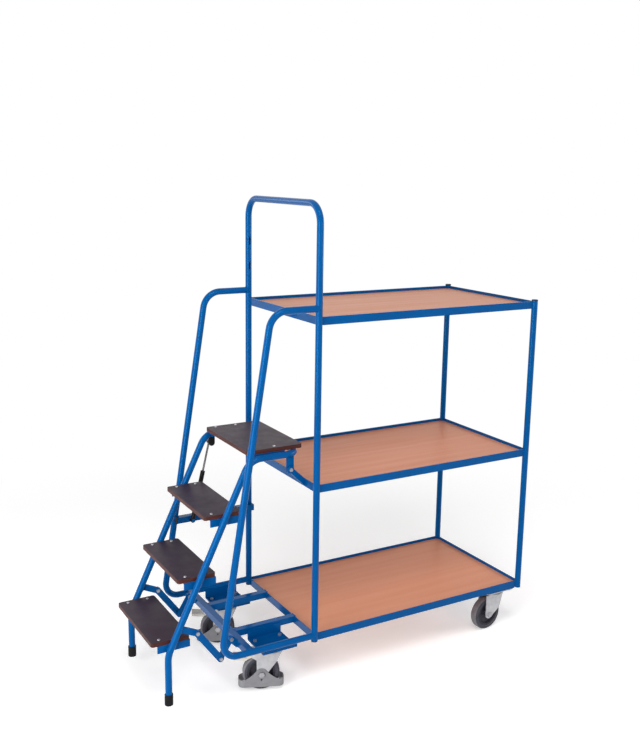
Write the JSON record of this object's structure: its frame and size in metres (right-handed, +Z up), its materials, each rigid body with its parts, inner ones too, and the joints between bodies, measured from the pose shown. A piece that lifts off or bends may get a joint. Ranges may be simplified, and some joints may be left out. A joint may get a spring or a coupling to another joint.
{
  "type": "order picking trolley",
  "caption": "Tubular shelf trolley on casters with a high push handle, handrails and a sprung step ladder on its handle end.",
  "frame": {"origin": "on the floor, under the middle of the whole trolley's box", "axes": "+Z up, +X from the ladder end to the rear posts, +Y to the side with the gas strut"},
  "size_m": [1.6166, 0.59, 1.8255],
  "materials": {
    "blue_paint": "smooth powder coat",
    "black_plastic": "moulded",
    "shelf_board": "beech decor, satin",
    "step_board": "dark film-faced plywood",
    "fastener_steel": "zinc plated",
    "zinc": "zinc plated sheet",
    "guard": "grey, matt",
    "pedal": "ivory, moulded",
    "tyre": "grey, non-marking",
    "hub": "dark grey, moulded",
    "foot_rubber": "moulded",
    "strut_black": "satin black",
    "strut_rod": "ground"
  },
  "bodies": {
    "chassis": {"push_handle": "blue_paint", "rear_posts": "blue_paint", "tube_caps": "black_plastic", "lower_shelf_frame": "blue_paint", "middle_shelf_frame": "blue_paint", "upper_shelf_frame": "blue_paint", "lower_shelf_board": "shelf_board", "middle_shelf_board": "shelf_board", "upper_shelf_board": "shelf_board", "handrail_near": "blue_paint", "handrail_far": "blue_paint", "front_cross_tube": "blue_paint", "inner_tubes": "blue_paint", "caster_plates": "blue_paint", "rear_caster_beam": "blue_paint", "ladder_hinge_tabs": "blue_paint", "rocker_lugs": "blue_paint", "pivot_bolts": "fastener_steel", "strut_brace": "blue_paint", "caster_top_plates": "zinc", "caster_bolts": "fastener_steel"},
    "ladder": {"ladder_tube": "blue_paint", "ladder_feet": "foot_rubber", "step_board_1": "step_board", "step_board_2": "step_board", "step_board_3": "step_board", "step_board_4": "step_board", "step_brackets": "blue_paint", "step_screws": "fastener_steel", "ladder_hinge_plates": "blue_paint", "link_arms": "blue_paint", "link_bolts": "fastener_steel", "strut_upper_bracket": "strut_black"},
    "link_near": {"link_bar_near": "blue_paint"},
    "link_far": {"link_bar_far": "blue_paint"},
    "rocker_near": {"rocker_near": "blue_paint"},
    "rocker_far": {"rocker_far": "blue_paint"},
    "strut_cylinder": {"strut_cylinder": "strut_black"},
    "strut_rod": {"strut_rod": "strut_rod"},
    "pedal_front_near": {"brake_pedal_front_near": "pedal"},
    "caster_front_near": {"fork_front_near": "zinc", "axle_front_near": "fastener_steel", "foot_guard_front_near": "guard"},
    "wheel_front_near": {"hub_front_near": "hub", "tyre_front_near": "tyre"},
    "pedal_front_far": {"brake_pedal_front_far": "pedal"},
    "caster_front_far": {"fork_front_far": "zinc", "axle_front_far": "fastener_steel", "foot_guard_front_far": "guard"},
    "wheel_front_far": {"hub_front_far": "hub", "tyre_front_far": "tyre"},
    "caster_rear_near": {"fork_rear_near": "zinc", "axle_rear_near": "fastener_steel"},
    "wheel_rear_near": {"hub_rear_near": "hub", "tyre_rear_near": "tyre"},
    "caster_rear_far": {"fork_rear_far": "zinc", "axle_rear_far": "fastener_steel"},
    "wheel_rear_far": {"hub_rear_far": "hub", "tyre_rear_far": "tyre"}
  },
  "joints": [
    {"name": "ladder_hinge", "type": "hinge", "parent": "chassis", "child": "ladder", "pos_m": [-0.26625, 0, 0.85], "axis": [0, -1, 0], "range_deg": [0, 5.54], "stiffness_Nm_per_rad": 100, "springref_deg": -25.78},
    {"name": "link_pivot_near", "type": "hinge", "parent": "ladder", "child": "link_near", "pos_m": [-0.64232, -0.2033, 0.29486], "axis": [0, -1, 0], "range_deg": [-9.34, 0]},
    {"name": "rocker_pivot_near", "type": "hinge", "parent": "chassis", "child": "rocker_near", "pos_m": [-0.51025, -0.2033, 0.24], "axis": [0, -1, 0], "range_deg": [0, 22.5]},
    {"name": "link_pivot_far", "type": "hinge", "parent": "ladder", "child": "link_far", "pos_m": [-0.64232, 0.2033, 0.29486], "axis": [0, -1, 0], "range_deg": [-9.34, 0]},
    {"name": "rocker_pivot_far", "type": "hinge", "parent": "chassis", "child": "rocker_far", "pos_m": [-0.51025, 0.2033, 0.24], "axis": [0, -1, 0], "range_deg": [0, 22.5]},
    {"name": "strut_tilt", "type": "hinge", "parent": "chassis", "child": "strut_cylinder", "pos_m": [-0.47851, 0.228, 0.548], "axis": [0, -1, 0], "range_deg": [-0.473, 0]},
    {"name": "strut_slide", "type": "slide", "parent": "strut_cylinder", "child": "strut_rod", "axis": [0.2266, 0, 0.974], "range_m": [-0.01379, 0]},
    {"name": "swivel_front_near", "type": "hinge", "parent": "chassis", "child": "caster_front_near", "pos_m": [-0.34025, -0.2013, 0.16], "axis": [0, 0, 1], "continuous": true},
    {"name": "wheel_spin_front_near", "type": "hinge", "parent": "caster_front_near", "child": "wheel_front_near", "pos_m": [-0.37919, -0.18557, 0.07], "axis": [0.3746, 0.9272, 0], "continuous": true},
    {"name": "pedal_front_near", "type": "hinge", "parent": "caster_front_near", "child": "pedal_front_near", "pos_m": [-0.40701, -0.17433, 0.1445], "axis": [-0.3746, -0.9272, 0], "range_deg": [0, 12], "stiffness_Nm_per_rad": 6, "springref_deg": -6.88},
    {"name": "swivel_front_far", "type": "hinge", "parent": "chassis", "child": "caster_front_far", "pos_m": [-0.34025, 0.2013, 0.16], "axis": [0, 0, 1], "continuous": true},
    {"name": "wheel_spin_front_far", "type": "hinge", "parent": "caster_front_far", "child": "wheel_front_far", "pos_m": [-0.37919, 0.21703, 0.07], "axis": [0.3746, 0.9272, 0], "continuous": true},
    {"name": "pedal_front_far", "type": "hinge", "parent": "caster_front_far", "child": "pedal_front_far", "pos_m": [-0.40701, 0.22827, 0.1445], "axis": [-0.3746, -0.9272, 0], "range_deg": [0, 12], "stiffness_Nm_per_rad": 6, "springref_deg": -6.88},
    {"name": "swivel_rear_near", "type": "hinge", "parent": "chassis", "child": "caster_rear_near", "pos_m": [0.72475, -0.211, 0.16], "axis": [0, 0, 1], "continuous": true},
    {"name": "wheel_spin_rear_near", "type": "hinge", "parent": "caster_rear_near", "child": "wheel_rear_near", "pos_m": [0.68285, -0.21393, 0.07], "axis": [-0.0698, 0.9976, 0], "continuous": true},
    {"name": "swivel_rear_far", "type": "hinge", "parent": "chassis", "child": "caster_rear_far", "pos_m": [0.72475, 0.211, 0.16], "axis": [0, 0, 1], "continuous": true},
    {"name": "wheel_spin_rear_far", "type": "hinge", "parent": "caster_rear_far", "child": "wheel_rear_far", "pos_m": [0.68285, 0.20807, 0.07], "axis": [-0.0698, 0.9976, 0], "continuous": true}
  ],
  "couplings": [
    {"joint": "link_pivot_near", "follows": "ladder_hinge", "ratio": -1.668},
    {"joint": "rocker_pivot_near", "follows": "ladder_hinge", "ratio": 4.0439},
    {"joint": "link_pivot_far", "follows": "ladder_hinge", "ratio": -1.668},
    {"joint": "rocker_pivot_far", "follows": "ladder_hinge", "ratio": 4.0439},
    {"joint": "strut_tilt", "follows": "ladder_hinge", "ratio": -0.06741},
    {"joint": "strut_slide", "follows": "ladder_hinge", "m_per_rad": -0.13743}
  ]
}
